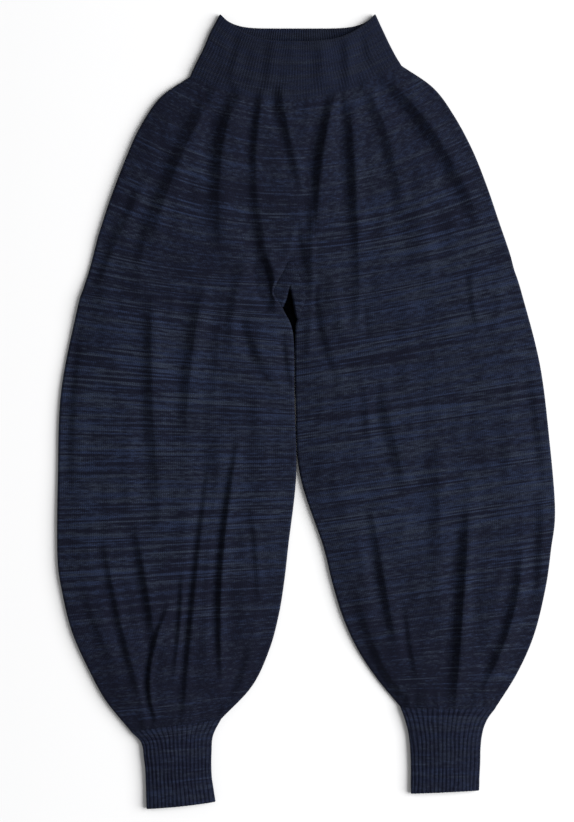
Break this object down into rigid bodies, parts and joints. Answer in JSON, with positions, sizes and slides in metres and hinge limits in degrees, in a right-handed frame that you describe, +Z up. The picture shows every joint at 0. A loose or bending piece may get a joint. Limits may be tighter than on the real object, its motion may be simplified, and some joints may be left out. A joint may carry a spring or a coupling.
{
  "type": "harem pants",
  "caption": "Knitted balloon-leg harem pants laid flat: ribbed funnel waistband, full gathered seat and legs, small crotch gusset, ribbed cuffs.",
  "frame": {"origin": "middle of the laid-out garment, on the surface it lies on", "axes": "+Y towards the waist, +X to the right seen from above, +Z up off the surface"},
  "size_m": [0.6219, 0.992, 0.0167],
  "materials": {
    "waist_rib": "matt navy one-by-one rib knit",
    "body_knit": "matt navy heather knit with blue and grey streaks along the courses",
    "cuff_rib": "matt navy coarse rib knit",
    "gusset_knit": "matt navy knit, stitches on the slant"
  },
  "bodies": {
    "root": {"waistband": "waist_rib", "seat": "body_knit", "leg_left": "body_knit", "leg_right": "body_knit", "cuff_left": "cuff_rib", "cuff_right": "cuff_rib", "gusset": "gusset_knit"}
  },
  "joints": []
}
